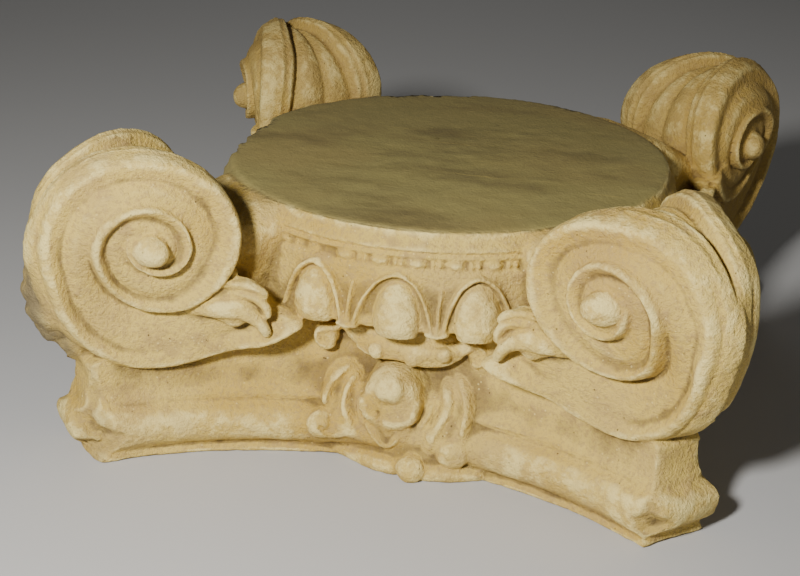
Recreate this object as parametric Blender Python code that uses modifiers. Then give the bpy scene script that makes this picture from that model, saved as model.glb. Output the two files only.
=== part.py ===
"""Ionic capital with four angle volutes, resting on its abacus, round bed up."""
import math

import bmesh
import bpy
from mathutils import Matrix, Vector

# Bell and bed, metres: radius, height, from the bed's edge down to the abacus
BELL_PROFILE = (
    (0.1400, 0.1522),
    (0.1435, 0.1500),
    (0.1450, 0.1425),
    (0.1470, 0.1405),
    (0.1470, 0.1385),
    (0.1455, 0.1370),
    (0.1495, 0.1345),
    (0.1485, 0.1300),
    (0.1530, 0.1180),
    (0.1530, 0.1040),
    (0.1470, 0.0930),
    (0.1240, 0.0860),
    (0.1180, 0.0450),
)
BELL_STEPS = 40

# Abacus from the floor up: height, mid-side reach, horn reach, horn half width
ABACUS_LEVELS = (
    (0.0000, 0.1352, 0.2478, 0.0193),
    (0.0028, 0.1366, 0.2500, 0.0207),
    (0.0073, 0.1344, 0.2498, 0.0207),
    (0.0126, 0.1414, 0.2551, 0.0238),
    (0.0224, 0.1436, 0.2573, 0.0249),
    (0.0311, 0.1397, 0.2542, 0.0224),
    (0.0350, 0.1347, 0.2506, 0.0182),
    (0.0381, 0.1364, 0.2500, 0.0174),
    (0.0434, 0.1316, 0.2486, 0.0157),
    (0.0500, 0.1275, 0.2478, 0.0148),
    (0.0612, 0.1240, 0.2468, 0.0146),
    (0.0672, 0.1226, 0.2254, 0.0151),
    (0.0868, 0.1190, 0.1946, 0.0168),
)
SIDE_STEPS = 8

# Volutes, drawn in the upright plane through the diagonal
VOLUTE_REACH = 0.2211
VOLUTE_HEIGHT = 0.1390
RIM_RADIUS = 0.0532
# What is left of the rim's radius after each quarter turn, and how far it has opened out
# a quarter turn before the top
QUARTER_TURN_SHRINK = 0.85
RIM_OPENING = 0.0068
FACE_HALF_WIDTH = 0.0285
FACE_SLOPE = 0.42
FACE_CONE_SLOPE = 0.436
FACE_CONE_RADIUS = 0.0630
RIDGE_RADIUS = 0.0034
RIB_COUNT = 4
RIB_DEPTH = 0.0032
OUTER_SWELL = 0.0040

# Rise of a volute's face from its channel to the tip of the eye: radius, stand
FACE_RISE = ((0.0480, -0.0060), (0.0470, 0.0005), (0.0270, 0.0090),
             (0.0120, 0.0105), (0.0105, 0.0150), (0.0055, 0.0184))

# Strap that carries each volute face in to the bell: reach, height
STRAP_START = (0.1180, 0.0960)
STRAP_FOOT = (0.2006, 0.0604)
STRAP_STEPS = 5
STRAP_CURVE = 1.25
STRAP_UPPER_EDGE = ((0.1900, 0.1070), (0.1680, 0.1090), (0.1180, 0.1150))

# Eggs: three on each side of the bell
EGG_PITCH = math.radians(18.0)
EGG_OFFSET = math.radians(2.0)
EGG_RING_RADIUS = 0.1500
EGG_HEIGHT = 0.1085
EGG_SIZE = (0.0165, 0.0105, 0.0200)

CORNER_ANGLES = [math.radians(45 + 90 * k) for k in range(4)]
SIDE_ANGLES = [math.radians(90 * k) for k in range(4)]


def clear_scene():
    for old in list(bpy.data.objects):
        bpy.data.objects.remove(old, do_unlink=True)


def make_collection(name):
    group = bpy.data.collections.new(name)
    bpy.context.scene.collection.children.link(group)
    return group


def stone_material():
    material = bpy.data.materials.new("cast_stone")
    material.use_nodes = True
    shader = material.node_tree.nodes["Principled BSDF"]
    shader.inputs["Base Color"].default_value = (0.52, 0.43, 0.27, 1.0)
    shader.inputs["Roughness"].default_value = 0.85
    shader.inputs["Metallic"].default_value = 0.0
    return material


def new_object(name, mesh):
    obj = bpy.data.objects.new(name, mesh)
    WORK.objects.link(obj)
    return obj


def mesh_object(name, bm):
    bmesh.ops.recalc_face_normals(bm, faces=bm.faces[:])
    mesh = bpy.data.meshes.new(name)
    bm.to_mesh(mesh)
    bm.free()
    return new_object(name, mesh)


def loft(name, rings):
    """A closed body through rings that all have the same number of points."""
    bm = bmesh.new()
    rows = [[bm.verts.new(point) for point in ring] for ring in rings]
    count = len(rows[0])
    for low, high in zip(rows, rows[1:]):
        for k in range(count):
            n = (k + 1) % count
            bm.faces.new((low[k], low[n], high[n], high[k]))
    bm.faces.new(list(reversed(rows[0])))
    bm.faces.new(rows[-1])
    return mesh_object(name, bm)


def ball(name, centre, radii, segments=12, rings=8, turn=None):
    bm = bmesh.new()
    bmesh.ops.create_uvsphere(bm, u_segments=segments, v_segments=rings, radius=1.0)
    matrix = Matrix.Translation(centre) @ (turn or Matrix.Identity(4)) @ Matrix.Diagonal((*radii, 1.0))
    bmesh.ops.transform(bm, matrix=matrix, verts=bm.verts[:])
    return mesh_object(name, bm)


def tube(name, points, radii, resolution=1):
    """A round bar along the points, made a mesh so that it can be joined."""
    curve = bpy.data.curves.new(name, "CURVE")
    curve.dimensions = "3D"
    curve.bevel_depth = 1.0
    curve.bevel_resolution = resolution
    curve.use_fill_caps = True
    spline = curve.splines.new("POLY")
    spline.points.add(len(points) - 1)
    for knot, point, radius in zip(spline.points, points, radii):
        knot.co = (*point, 1.0)
        knot.radius = radius
    guide = new_object(name + "_curve", curve)
    bpy.context.view_layer.update()
    graph = bpy.context.evaluated_depsgraph_get()
    mesh = bpy.data.meshes.new_from_object(guide.evaluated_get(graph))
    bpy.data.objects.remove(guide, do_unlink=True)
    bm = bmesh.new()
    bm.from_mesh(mesh)
    bmesh.ops.remove_doubles(bm, verts=bm.verts[:], dist=0.00001)
    bpy.data.meshes.remove(mesh)
    return mesh_object(name, bm)


def unite(base, others):
    """Boolean union of the others into base; the others are removed."""
    for other in others:
        joiner = base.modifiers.new("join", "BOOLEAN")
        joiner.operation = "UNION"
        joiner.solver = "EXACT"
        joiner.object = other
        bpy.context.view_layer.update()
        graph = bpy.context.evaluated_depsgraph_get()
        mesh = bpy.data.meshes.new_from_object(base.evaluated_get(graph))
        base.modifiers.clear()
        base.data = mesh
        bpy.data.objects.remove(other, do_unlink=True)
    return base


def turned_copy(obj, angle):
    copy = new_object(obj.name + "_copy", obj.data.copy())
    copy.data.transform(Matrix.Rotation(angle, 4, "Z"))
    return copy


def abacus_outline(mid_reach, horn_reach, horn_half_width):
    """Four sides, each a shallow arc hollowed towards the middle."""
    half_chord = (horn_reach - horn_half_width) / math.sqrt(2)
    corner_reach = (horn_reach + horn_half_width) / math.sqrt(2)
    sag = corner_reach - mid_reach
    radius = (half_chord ** 2 + sag ** 2) / (2 * sag)
    span = math.asin(half_chord / radius)
    outline = []
    for side in SIDE_ANGLES:
        for step in range(SIDE_STEPS + 1):
            angle = span * (2 * step / SIDE_STEPS - 1)
            across = radius * math.sin(angle)
            out = mid_reach + radius * (1 - math.cos(angle))
            outline.append((across * math.cos(side) + out * math.sin(side),
                            across * math.sin(side) - out * math.cos(side)))
    return outline


def build_abacus():
    rings = []
    for height, mid_reach, horn_reach, half_width in ABACUS_LEVELS:
        outline = abacus_outline(mid_reach, horn_reach, half_width)
        rings.append([(x, y, height) for x, y in outline])
    return loft("abacus", rings)


def build_bell():
    bm = bmesh.new()
    points = [(0.0, BELL_PROFILE[0][1])] + list(BELL_PROFILE) + [(0.0, BELL_PROFILE[-1][1])]
    verts = [bm.verts.new((radius, 0.0, height)) for radius, height in points]
    for a, b in zip(verts, verts[1:]):
        bm.edges.new((a, b))
    mesh = bpy.data.meshes.new("bell")
    bm.to_mesh(mesh)
    bm.free()
    bell = new_object("bell", mesh)
    screw = bell.modifiers.new("turn", "SCREW")
    screw.steps = BELL_STEPS
    screw.render_steps = BELL_STEPS
    screw.use_merge_vertices = True
    screw.merge_threshold = 0.0001
    screw.use_normal_calculate = True
    bpy.context.view_layer.update()
    graph = bpy.context.evaluated_depsgraph_get()
    solid = bpy.data.meshes.new_from_object(bell.evaluated_get(graph))
    bell.modifiers.clear()
    bell.data = solid
    return bell


def spiral_radius(degrees):
    """Radius of the volute's rim: a logarithmic spiral past the top, opening out before it."""
    quarters = degrees / 90.0
    if quarters < 0.0:
        return RIM_RADIUS + RIM_OPENING * quarters ** 2
    return RIM_RADIUS * QUARTER_TURN_SHRINK ** quarters


def strap_lower_edge():
    """The strap's underside, from the bell out and down to the rim."""
    points = []
    for step in range(STRAP_STEPS + 1):
        share = step / STRAP_STEPS
        reach = STRAP_START[0] + (STRAP_FOOT[0] - STRAP_START[0]) * share
        height = STRAP_START[1] + (STRAP_FOOT[1] - STRAP_START[1]) * share ** STRAP_CURVE
        points.append((reach, height))
    return points


def face_half_width(reach):
    return FACE_HALF_WIDTH + FACE_SLOPE * (VOLUTE_REACH - reach)


def turn_point(degrees, radius):
    angle = math.radians(degrees)
    return (VOLUTE_REACH - radius * math.sin(angle),
            VOLUTE_HEIGHT + radius * math.cos(angle))


def build_roll():
    """The scroll's body: its two faces slope together outwards, its rim is ribbed."""
    stations = 2 * RIB_COUNT
    outline = []
    for reach, height in strap_lower_edge():
        outline.append((reach, height, 0.0, 0.0))
    for degrees in range(-170, 131, 20):
        radius = spiral_radius(degrees)
        turn = math.radians(degrees)
        swell = OUTER_SWELL * max(0.0, -math.sin(turn))
        rib = RIB_DEPTH * min(1.0, max(0.0, (degrees + 110) / 60.0))
        outline.append((*turn_point(degrees, radius), swell / radius, rib / radius))
    for reach, height in STRAP_UPPER_EDGE:
        outline.append((reach, height, 0.0, 0.0))
    rings = []
    for station in range(stations + 1):
        across = 2 * station / stations - 1
        groove = abs(math.cos(math.pi * RIB_COUNT * (across + 1) / 2))
        ring = []
        for reach, height, swell, rib in outline:
            scale = 1 + swell * (1 - across ** 2) - rib * groove ** 3
            out = VOLUTE_REACH + (reach - VOLUTE_REACH) * scale
            up = VOLUTE_HEIGHT + (height - VOLUTE_HEIGHT) * scale
            ring.append((out, across * face_half_width(out), up))
        rings.append(ring)
    return loft("roll", rings)


def face_point(reach, height, stand, side):
    return (reach, side * (face_half_width(reach) + stand), height)


def build_face(side):
    """The cone that rises to the eye, and the spiral ridge on it."""
    cone_rings = []
    for radius, stand in FACE_RISE:
        ring = []
        for step in range(10):
            ring.append(face_point(*turn_point(36 * step, radius), stand, side))
        cone_rings.append(ring)
    cone = loft("cone", cone_rings)
    path = []
    for degrees in range(-36, 613, 36):
        radius = spiral_radius(degrees) - RIDGE_RADIUS * 0.8
        stand = FACE_CONE_SLOPE * (FACE_CONE_RADIUS - radius) - 0.0040
        path.append(face_point(*turn_point(degrees, radius), stand, side))
    taper = [RIDGE_RADIUS * min(1.0, 0.45 + 0.15 * k, 0.6 + 0.08 * (len(path) - k))
             for k in range(len(path))]
    ridge = tube("ridge", path, taper, resolution=0)
    return [cone, ridge]


def build_sprig(side):
    """Two curled leaf tips that cover the joint of strap and bell."""
    leaves = []
    for tip_reach, tip_height, crown in ((0.1600, 0.1150, 0.0040), (0.1570, 0.0850, 0.0100)):
        path = []
        for step in range(5):
            share = step / 4
            reach = 0.1930 + (tip_reach - 0.1930) * share
            height = 0.0985 + (tip_height - 0.0985) * share ** 2.2
            height += crown * math.sin(math.pi * min(1.0, share * 1.15))
            path.append(face_point(reach, height, 0.0010 + 0.0030 * math.sin(math.pi * share), side))
        radii = [0.0050, 0.0066, 0.0066, 0.0052, 0.0034]
        leaves.append(tube("leaf", path, radii, resolution=0))
    return leaves


def build_corner():
    roll = build_roll()
    for side in (-1, 1):
        unite(roll, build_face(side))
        unite(roll, build_sprig(side))
    return roll


def build_eggs(side):
    eggs = []
    for place in (-1, 0, 1):
        angle = side - math.pi / 2 + EGG_OFFSET + place * EGG_PITCH
        centre = Vector((EGG_RING_RADIUS * math.cos(angle), EGG_RING_RADIUS * math.sin(angle), EGG_HEIGHT))
        turn = Matrix.Rotation(angle + math.pi / 2, 4, "Z")
        eggs.append(ball("egg", centre, EGG_SIZE, 8, 5, turn))
    return eggs


def build_fleuron():
    """Two buns, a ball and curled ribs at the middle of one abacus side."""
    pieces = [
        ball("bun", (0.0020, -0.1380, 0.0560), (0.0130, 0.0130, 0.0110), 8, 5),
        ball("bun", (0.0040, -0.1420, 0.0430), (0.0190, 0.0140, 0.0160), 8, 5),
        ball("leaf_tip", (0.0040, -0.1440, 0.0260), (0.0110, 0.0090, 0.0120), 6, 5),
        ball("ball", (0.0120, -0.1460, 0.0104), (0.0100, 0.0100, 0.0100), 7, 5),
    ]
    for side, bud_reach, bud_height in ((-1, 0.0370, 0.0235), (1, 0.0440, 0.0170)):
        path = []
        for step in range(5):
            turn = step / 4 * math.pi / 2
            across = 0.0130 + (bud_reach - 0.0130) * math.sin(turn)
            height = 0.0610 + (bud_height - 0.0590) * (1 - math.cos(turn))
            path.append((side * across, -0.1280 - 0.0120 * turn, height))
        pieces.append(tube("rib", path, [0.0065, 0.0080, 0.0085, 0.0075, 0.0060], resolution=0))
        pieces.append(ball("bud", (side * bud_reach, -0.1440, bud_height), (0.0090, 0.0080, 0.0090), 6, 5))
    return pieces


def build_swag():
    """The swag of leaf and berries below the eggs, as one thick bar."""
    path = [(-0.0340, -0.1230, 0.0740), (-0.0080, -0.1300, 0.0745), (0.0120, -0.1320, 0.0750),
            (0.0340, -0.1290, 0.0755), (0.0520, -0.1200, 0.0745)]
    return [tube("swag", path, [0.0050, 0.0090, 0.0095, 0.0090, 0.0050], resolution=0)]


def build_side():
    """Everything that stands on the middle of one side."""
    parts = build_fleuron() + build_swag() + build_eggs(0.0)
    return parts


def shade(obj):
    obj.data.shade_smooth()
    obj.data.set_sharp_from_angle(angle=math.radians(35))


clear_scene()
WORK = make_collection("ionic_capital")
material = stone_material()
capital = build_abacus()
capital.name = "capital"
unite(capital, [build_bell()])
corner = build_corner()
for angle in CORNER_ANGLES:
    unite(capital, [turned_copy(corner, angle)])
bpy.data.objects.remove(corner, do_unlink=True)
side_parts = build_side()
for angle in SIDE_ANGLES:
    for part in side_parts:
        unite(capital, [turned_copy(part, angle)])
for part in side_parts:
    bpy.data.objects.remove(part, do_unlink=True)
capital.data.materials.clear()
capital.data.materials.append(material)
shade(capital)
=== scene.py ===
"""Ionic capital with four angle volutes, lying on its abacus: detailed surface, stone, studio."""
import math
from collections import namedtuple

import bpy
import numpy as np
from mathutils import Matrix, Vector


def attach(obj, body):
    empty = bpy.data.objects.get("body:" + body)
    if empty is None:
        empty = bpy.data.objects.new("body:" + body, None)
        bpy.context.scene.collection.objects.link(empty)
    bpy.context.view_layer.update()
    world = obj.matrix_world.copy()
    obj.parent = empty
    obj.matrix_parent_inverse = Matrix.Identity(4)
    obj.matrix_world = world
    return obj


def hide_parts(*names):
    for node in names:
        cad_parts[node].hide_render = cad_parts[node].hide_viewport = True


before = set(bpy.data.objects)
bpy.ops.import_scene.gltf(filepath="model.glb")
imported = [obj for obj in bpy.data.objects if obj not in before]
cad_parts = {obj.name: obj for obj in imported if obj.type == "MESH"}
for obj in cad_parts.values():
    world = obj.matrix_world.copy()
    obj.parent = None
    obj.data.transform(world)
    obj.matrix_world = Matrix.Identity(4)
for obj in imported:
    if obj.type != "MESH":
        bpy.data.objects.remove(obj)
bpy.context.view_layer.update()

# Unit of the ornament: the radius of the round bed, metres
R = 0.140
BED_HEIGHT = 1.087 * R

# Surface resolution, metres and triangles
VOXEL = 0.00085
TRIANGLE_BUDGET = 194000

# Volute centre in the upright plane through the diagonal, in units of R
VOLUTE_REACH = 1.579
VOLUTE_HEIGHT = 0.993
# The spiral's rim, by degrees from the top towards the column, radii in units of R
RIM_RADIUS = 0.376
# Where the rim closes in: degrees from, degrees to, and by how much
SPIRAL_CLOSES = ((40, 140, 0.052), (145, 250, 0.115), (260, 480, 0.050), (440, 600, 0.074),
                 (600, 840, 0.007))
# Where it opens out below into the strap, the same way, and the strap's last rise to the bell
SPIRAL_OPENS = ((-70, -135, 0.030), (-110, -186, 0.182))
STRAP_BENDS = -196
STRAP_RISE = 0.172
STRAP_END = -250
# How fast a face stands away from the diagonal plane inwards: its slope, and the curve added to it
FACE_SLOPE = 0.440
FACE_CURVE = 0.060
# Height of a turn's edge over that leaning plane at the centre, and how it falls outwards
RIM_LEVEL = 0.389
RIM_SLOPE = 0.35
# The strap's root spreads by this much as it meets the bell, and its inner part is sunk by this
ROOT_FLARE = 0.115
ROOT_SUNK = 0.30
EYE_RADIUS = 0.070
EYE_HEIGHT = 0.090
# How far the eye's foot lies below the last turn
EYE_SINK = 0.012
# The spiral's edge by the angle turned, in thousandths of R: roll width, channel inside it, wall
# down to the turn outside it, undercut at the wall's foot, lift of the edge over the leaning plane
EDGE = (
    (-250, 50, 4, 0, 0, 0), (-200, 56, 6, 0, 0, 0), (-150, 56, 30, 0, 0, 0), (-90, 54, 46, 0, 0, 0),
    (0, 54, 46, 0, 0, 0), (60, 66, 44, 10, 0, 10), (100, 68, 40, 36, 8, 14),
    (150, 56, 38, 76, 20, -18), (180, 44, 42, 86, 20, -42), (210, 37, 48, 76, 14, -52),
    (240, 36, 52, 56, 6, -36), (270, 38, 44, 42, 0, -6), (310, 38, 38, 36, 0, 18),
    (360, 38, 36, 30, 0, 0), (400, 35, 36, 30, 0, -22), (450, 32, 44, 44, 8, -30),
    (490, 27, 34, 60, 16, -30), (540, 22, 24, 56, 14, -40), (590, 15, 12, 40, 8, -50),
    (660, 12, 6, 16, 0, -60), (850, 10, 4, 6, 0, -62))
# The four scrolls: the angle of the diagonal, the size of the spiral, which of its sides is
# nearer the front, the extra half thickness, how far that side's upper edge is pinched in, the
# lift of the leaf in metres, the angle where the strap leaves the bell, how far the upper edge
# is cut down, the sag of the turns, and the half width of the neck
Corner = namedtuple("Corner", "angle size front_side thicker pinch lift root drop sag neck")
SCROLLS = {
    "front_left": Corner(224.5, 1.005, 1, 0.012, 0.000, -0.0015, -242, 0.012, 0.000, 0.304),
    "front_right": Corner(315.5, 0.985, -1, 0.012, 0.000, 0.0030, -236, 0.042, 0.036, 0.278),
    "back_right": Corner(45.0, 1.000, -1, 0.000, 0.070, 0.0, -236, 0.000, 0.000, 0.304),
    "back_left": Corner(135.0, 1.000, 1, 0.000, 0.070, 0.0, -236, 0.000, 0.000, 0.304)}
# A scroll's other side: its pinch, and how much smaller its spiral is
PINCH_AWAY = 0.100
SMALLER_AWAY = 0.03


def smooth_step(low, high, value):
    share = np.clip((np.asarray(value, float) - low) / (high - low), 0.0, 1.0)
    return share * share * (3.0 - 2.0 * share)


def hill(value, middle, width):
    return np.exp(-((np.asarray(value, float) - middle) / width) ** 2)


def rim_radius(degrees):
    """The spiral's rim: level over the top, closing in as it turns, opening below into the strap."""
    radius = RIM_RADIUS
    for start, end, amount in SPIRAL_CLOSES:
        radius = radius - amount * smooth_step(start, end, degrees)
    for start, end, amount in SPIRAL_OPENS:
        radius = radius + amount * smooth_step(start, end, degrees)
    past = (STRAP_BENDS - np.asarray(degrees, float)) / (STRAP_BENDS - STRAP_END)
    return radius + STRAP_RISE * np.clip(past, 0.0, None) ** 2.4


def crease_place(degrees):
    """Where the crease beside each strap runs, as a share of the half thickness."""
    return 0.42 * smooth_step(-52, 30, degrees) + 0.18 * smooth_step(30, 120, degrees)


def valley_depth(degrees):
    """Depth of the valley between the straps."""
    return 0.072 * smooth_step(-95, -25, degrees) - 0.042 * smooth_step(-20, 130, degrees)


def hermite(table, place):
    """A smooth curve through the table's points, read at the given places."""
    xs = np.array([row[0] for row in table], float)
    ys = np.array([row[1:] for row in table], float)
    slopes = np.gradient(ys, xs, axis=0)
    place = np.clip(np.asarray(place, float), xs[0], xs[-1])
    k = np.clip(np.searchsorted(xs, place, side="right") - 1, 0, len(xs) - 2)
    width = xs[k + 1] - xs[k]
    t = ((place - xs[k]) / width)[..., None]
    width = width[..., None]
    curve = ((2 * t**3 - 3 * t**2 + 1) * ys[k] + (t**3 - 2 * t**2 + t) * width * slopes[k]
             + (3 * t**2 - 2 * t**3) * ys[k + 1] + (t**3 - t**2) * width * slopes[k + 1])
    return curve[..., 0] if curve.shape[-1] == 1 else curve


class Clay:
    """Closed bodies gathered in one heap before they are fused into one skin."""

    def __init__(self):
        self.bodies = []

    def skin(self, rings):
        """A closed body through rings of equal length, capped at both ends."""
        rings = np.asarray(rings, float)
        rows, columns = rings.shape[:2]
        base = np.arange(rows * columns).reshape(rows, columns)
        turned = np.roll(base, -1, axis=1)
        quads = np.stack([base[:-1], turned[:-1], turned[1:], base[1:]], axis=-1).reshape(-1, 4)
        faces = quads.tolist() + [base[0][::-1].tolist(), base[-1].tolist()]
        self.bodies.append((rings.reshape(-1, 3), faces))

    def add_clay(self, other, degrees):
        """Take in a copy of another heap, turned about the upright axis."""
        turn = np.array(Matrix.Rotation(math.radians(degrees), 4, "Z"))
        for points, faces in other.bodies:
            self.bodies.append((points @ turn[:3, :3].T + turn[:3, 3], faces))

    def mesh(self, name):
        faces = []
        count = 0
        for points, body_faces in self.bodies:
            faces += [[index + count for index in face] for face in body_faces]
            count += len(points)
        mesh = bpy.data.meshes.new(name)
        mesh.from_pydata(np.concatenate([points for points, _ in self.bodies]).tolist(), [], faces)
        mesh.update()
        return mesh


def through(points, count):
    """Evenly spaced places on a smooth curve through the given rows."""
    points = np.asarray(points, float)
    steps = np.linalg.norm(np.diff(points[:, :3], axis=0), axis=1)
    place = np.concatenate([[0.0], np.cumsum(steps)])
    table = [(s, *row) for s, row in zip(place, points)]
    return hermite(table, np.linspace(0.0, place[-1], count))


def sweep(clay, rows, outward, count=28, sides=14):
    """A tapering bar. Each row is x, y, z, half width, half height; outward is its upper side."""
    path = through(rows, count)
    centre, half_width, half_height = path[:, :3], path[:, 3], path[:, 4]
    tangent = np.gradient(centre, axis=0)
    tangent /= np.linalg.norm(tangent, axis=1, keepdims=True)
    outward = np.asarray(outward, float)
    if outward.ndim == 1:
        outward = np.tile(outward, (count, 1))
    up = outward - tangent * np.sum(outward * tangent, axis=1, keepdims=True)
    up /= np.linalg.norm(up, axis=1, keepdims=True)
    across = np.cross(tangent, up)
    share = np.linspace(0.0, 1.0, count)
    length = np.sum(np.linalg.norm(np.diff(centre, axis=0), axis=1))
    near_end = np.minimum(share, 1.0 - share) * length
    blunt = np.sqrt(np.clip(1 - (1 - near_end / np.maximum(half_width, 1e-5)).clip(0, 1) ** 2, 0.02, 1))
    angles = np.linspace(0.0, 2 * math.pi, sides, endpoint=False)
    rings = (centre[:, None, :]
             + across[:, None, :] * (np.cos(angles)[None, :, None] * (half_width * blunt)[:, None, None])
             + up[:, None, :] * (np.sin(angles)[None, :, None] * (half_height * blunt)[:, None, None]))
    clay.skin(rings)


def circle(count):
    """A circle of radius 1 at height 1, to be stretched into a ring."""
    angles = np.linspace(0.0, 2 * math.pi, count, endpoint=False)
    return np.stack([np.cos(angles), np.sin(angles), np.ones(count)], axis=-1)


def blob(clay, centre, radii, turn=None, columns=28, rows=18):
    """An ellipsoid."""
    rings = []
    for polar in np.linspace(0.02, math.pi - 0.02, rows):
        rings.append(circle(columns) * (math.sin(polar), math.sin(polar), math.cos(polar)))
    rings = np.array(rings) * np.array(radii)
    if turn is not None:
        rings = rings @ np.array(turn.to_3x3()).T
    clay.skin(rings + np.array(centre))


class Scroll:
    """One side of an angle volute: x outwards along the diagonal, y across, z up."""

    def __init__(self, traits):
        self.traits = traits

    def radius(self, degrees):
        grown = 1.0 + (self.traits.size - 1.0) * smooth_step(-170, -120, degrees)
        sag = self.traits.sag * (hill(degrees, 196, 34) + 0.8 * hill(degrees, 545, 40))
        return rim_radius(degrees) * grown + sag - self.cut_down(degrees)

    def cut_down(self, degrees):
        """How much lower the face's upper edge is than the middle of the rim."""
        return self.traits.drop * hill(degrees, -5, 50)

    def edge(self, degrees):
        """Roll, channel, wall, undercut and level where the spiral has turned this far."""
        table = np.moveaxis(hermite(EDGE, degrees), -1, 0) / 1000
        return (*table[:4], rim_level(self.radius(degrees)) + table[4])

    def lean(self, reach):
        """How far a face stands from the diagonal plane; it closes in outwards."""
        inward = VOLUTE_REACH - reach
        return (FACE_SLOPE * inward + FACE_CURVE * inward ** 2
                + self.traits.thicker * reach / VOLUTE_REACH)

    def face(self, rho, degrees):
        """Height of the face over its leaning plane, for its own place on the spiral."""
        turns = [degrees + 360 * k for k in range(4)]
        radii = [self.radius(turn) for turn in turns]
        edges = [self.edge(turn) for turn in turns]
        eye = np.sqrt(np.clip(1 - (rho / EYE_RADIUS) ** 2.3, 0.0, 1.0))
        level = edges[3][4] - EYE_SINK + EYE_HEIGHT * eye
        for k in (2, 1, 0):
            turn_level = band(rho, radii[k], radii[k + 1], edges[k], edges[k + 1])
            level = np.where(rho > radii[k + 1], turn_level, level)
        share = np.clip((rho - radii[1]) / np.maximum(radii[0] - radii[1], 1e-4), 0.0, 1.0)
        upper = smooth_step(-70, -10, degrees) * smooth_step(150, 100, degrees)
        flare = ROOT_FLARE * smooth_step(-207, -229, degrees) * smooth_step(0.66, 0.97, share)
        return level - self.traits.pinch * upper * share ** 1.5 + flare


def rim_level(radius):
    """Height of a face's edge over its leaning plane."""
    return RIM_LEVEL - RIM_SLOPE * radius


def band(rho, outer, inner, outer_edge, inner_edge):
    """Height across one turn: a roll along its outer edge, a channel, then the wall of the next turn."""
    roll, channel, _, _, outer_level = outer_edge
    _, _, wall, undercut, inner_level = inner_edge
    share = np.clip((rho - inner) / np.maximum(outer - inner, 1e-4), 0.0, 1.0)
    floor = (inner_level - wall) * (1 - share) + (outer_level - 0.62 * channel) * share
    floor = floor + 0.006 * np.sin(math.pi * share)
    crest = outer - 0.42 * roll
    level = floor + (outer_level - floor) * np.exp(-np.abs((rho - crest) / (0.60 * roll)) ** 2.4)
    level = level - 0.42 * channel * hill(rho, crest - 1.15 * roll, 0.42 * roll)
    level = level - undercut * hill(rho, inner + 0.006, 0.012)
    over = np.clip((rho - crest) / (0.42 * roll), 0.0, 1.0)
    return level - 0.42 * roll * over ** 2.4


def rim_relief(degrees, share):
    """Relief of the rim from a face's edge (share 1) to the diagonal plane (share 0).

    At the outer end the rim is one broad crown; over the top it parts into a strap on each
    side with two ribs and a central crease between them.
    """
    top = smooth_step(-82, -45, degrees)
    crown = 0.026 * (1 - share) ** 0.9 - 0.013 * hill(share, 0.84, 0.08)
    crown = crown * (1 - top) * smooth_step(-182, -145, degrees)
    crease_at = crease_place(degrees)
    deep = valley_depth(degrees)
    in_strap = np.clip((1.0 - share) / np.maximum(1.0 - crease_at, 1e-3), 0.0, 1.0)
    swell = 0.008 * top * smooth_step(95, 45, degrees)
    strap = swell * np.sin(math.pi * in_strap) ** 0.75 - 0.30 * deep * in_strap ** 2
    strap = strap + 0.009 * top * (hill(in_strap, 0.40, 0.07) + hill(in_strap, 0.72, 0.07))
    on_rib = np.clip(share / np.maximum(crease_at, 1e-3), 0.0, 1.0)
    rib_height = (0.022 + 0.10 * deep) * np.sin(math.pi * on_rib) ** 0.62
    rib = -deep + rib_height * smooth_step(0.02, 0.25, crease_at)
    on_strap = strap - 0.70 * deep * smooth_step(0.80, 1.0, in_strap)
    return crown + np.where(share > crease_at, on_strap, rib)


def volute_half(clay, side, scroll):
    """One face of a scroll with its strap, closed down to the diagonal plane."""
    degrees = np.arange(STRAP_END, 152.0, 1.0)
    face_count, rim_count = 150, 56
    edge = scroll.radius(degrees)
    share = np.linspace(0.0, 1.0, face_count)
    rho = edge[:, None] * share[None, :]
    angle = np.radians(degrees)[:, None]
    height = scroll.face(rho, np.repeat(degrees[:, None], face_count, axis=1))
    reach = VOLUTE_REACH - rho * np.sin(angle)
    root = scroll.traits.root
    sunk = smooth_step(root + 5, root - 5, degrees)[:, None] * smooth_step(0.36, 0.44, rho)
    stand = height + scroll.lean(reach) - ROOT_SUNK * sunk
    half = np.maximum(stand[:, -1], 0.02)
    down = np.linspace(0.0, 1.0, rim_count + 1)[1:]
    across = half[:, None] * (1 - down[None, :])
    relief = rim_relief(np.repeat(degrees[:, None], rim_count, axis=1), across / half[:, None])
    round_off = 0.004 * (1 - np.exp(-half[:, None] * down[None, :] / 0.008))
    relief = relief + scroll.cut_down(degrees)[:, None] * (1 - across / half[:, None])
    rim_rho = edge[:, None] + relief + round_off * smooth_step(-150, -90, degrees)[:, None]
    all_rho = np.concatenate([rho, rim_rho, rim_rho[:, -1:], rho[:, :1]], axis=1)
    below = np.full((len(degrees), 1), -0.02)
    all_across = np.concatenate([stand, across, below, below], axis=1)
    out = VOLUTE_REACH - all_rho * np.sin(angle)
    up = VOLUTE_HEIGHT + all_rho * np.cos(angle)
    clay.skin(np.stack([out, side * all_across, up], axis=-1) * R)


# How far the leaves' own plane stands over a scroll's leaning plane, in units of R
LEAF_STAND = 0.240
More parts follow.
